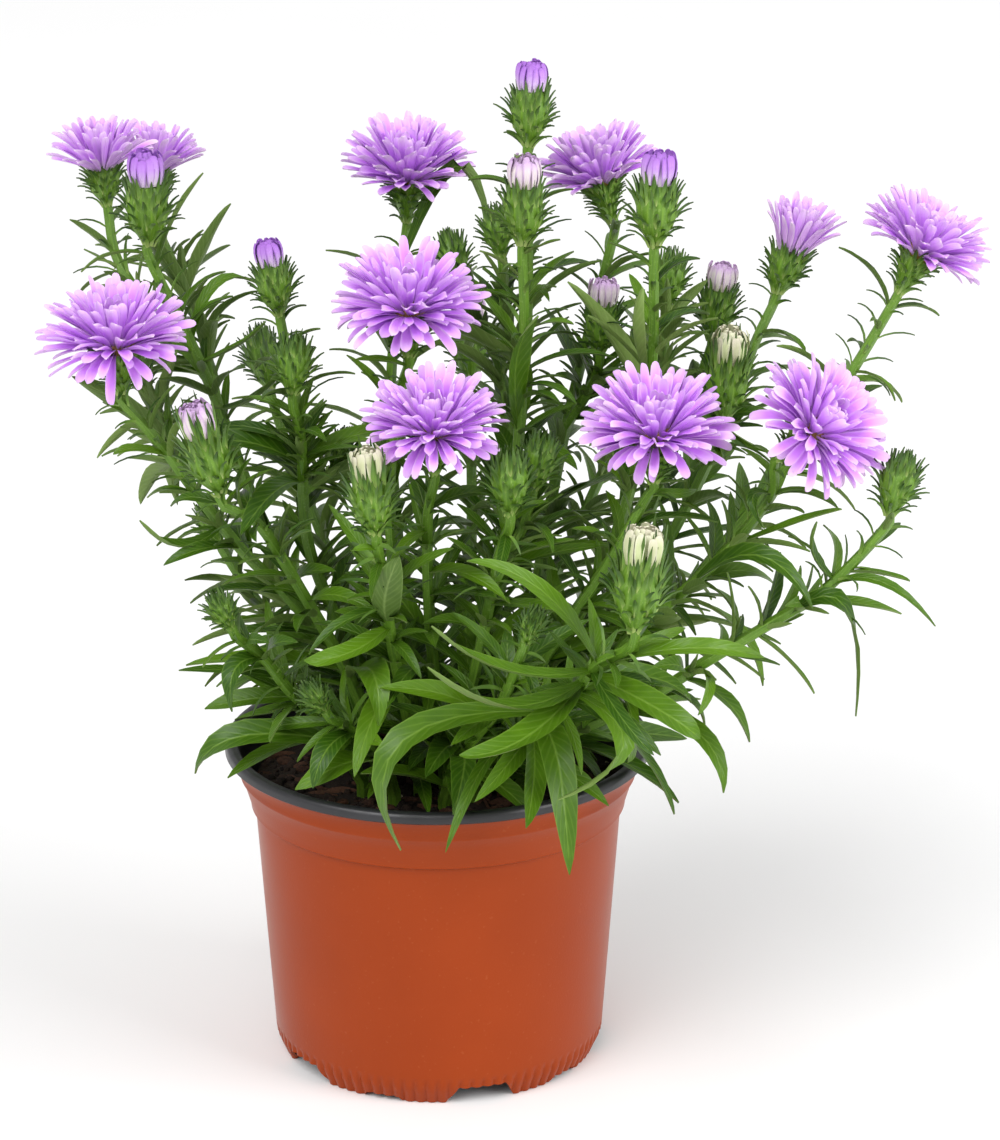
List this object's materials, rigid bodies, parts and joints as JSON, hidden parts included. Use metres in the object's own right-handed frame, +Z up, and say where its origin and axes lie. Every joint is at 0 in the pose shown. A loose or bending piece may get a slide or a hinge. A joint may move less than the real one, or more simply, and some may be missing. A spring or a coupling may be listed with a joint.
{
  "type": "potted new york aster",
  "caption": "Bushy potted aster with semi-double lilac daisy blooms and green buds on leafy stems, standing in a round two-tone nursery pot of peaty soil.",
  "frame": {"origin": "centre of the flat pad under the pot, on the standing surface", "axes": "+Z up along the pot's axis, -Y towards the plant's front, +X to the right seen from the front"},
  "size_m": [0.2603, 0.1903, 0.2811],
  "materials": {
    "pot": "satin terracotta outside, black inside and on the rim",
    "soil": "crumbly moist peat",
    "leaf": "satin leaf green with a paler midrib",
    "petal": "soft matt lilac, deeper violet towards the base",
    "bud": "soft matt, cream at the base and violet at the tips"
  },
  "bodies": {
    "root": {"pot": "pot", "soil": "soil", "crown_back_left": "bud", "bloom_back_left_2": "petal", "bloom_back_left_3": "petal", "bloom_left": "petal", "crown_twin_left": "bud", "bloom_back_mid": "petal", "bloom_mid_left": "petal", "bloom_mid_low": "petal", "crown_tall_back": "bud", "crown_tall_mid": "bud", "bloom_back_right": "petal", "crown_back_right_2": "bud", "crown_tall_right": "bud", "bloom_right_low": "petal", "crown_back_far_right": "bud", "bloom_right_top": "petal", "crown_right_top_2": "bud", "bloom_far_right": "petal", "bloom_right_front": "petal", "crown_front": "bud", "crown_front_left": "bud", "crown_left_front": "bud", "crown_rear_mid": "bud", "stem_back_left": "leaf", "stem_left": "leaf", "stem_twin_left": "leaf", "stem_back_mid": "leaf", "stem_mid_left": "leaf", "stem_mid_low": "leaf", "stem_tall_back": "leaf", "stem_tall_mid": "leaf", "stem_back_right": "leaf", "stem_tall_right": "leaf", "stem_right_low": "leaf", "stem_back_far_right": "leaf", "stem_right_top": "leaf", "stem_far_right": "leaf", "stem_right_front": "leaf", "stem_low_right": "leaf", "stem_front": "leaf", "stem_mid_front": "leaf", "stem_front_left": "leaf", "stem_left_front": "leaf", "stem_low_left": "leaf", "stem_side_shoot": "leaf", "stem_tiny_front": "leaf", "stem_rear_left": "leaf", "stem_rear_mid": "leaf", "stem_rear_right": "leaf", "stem_rear_low": "leaf"}
  },
  "joints": []
}
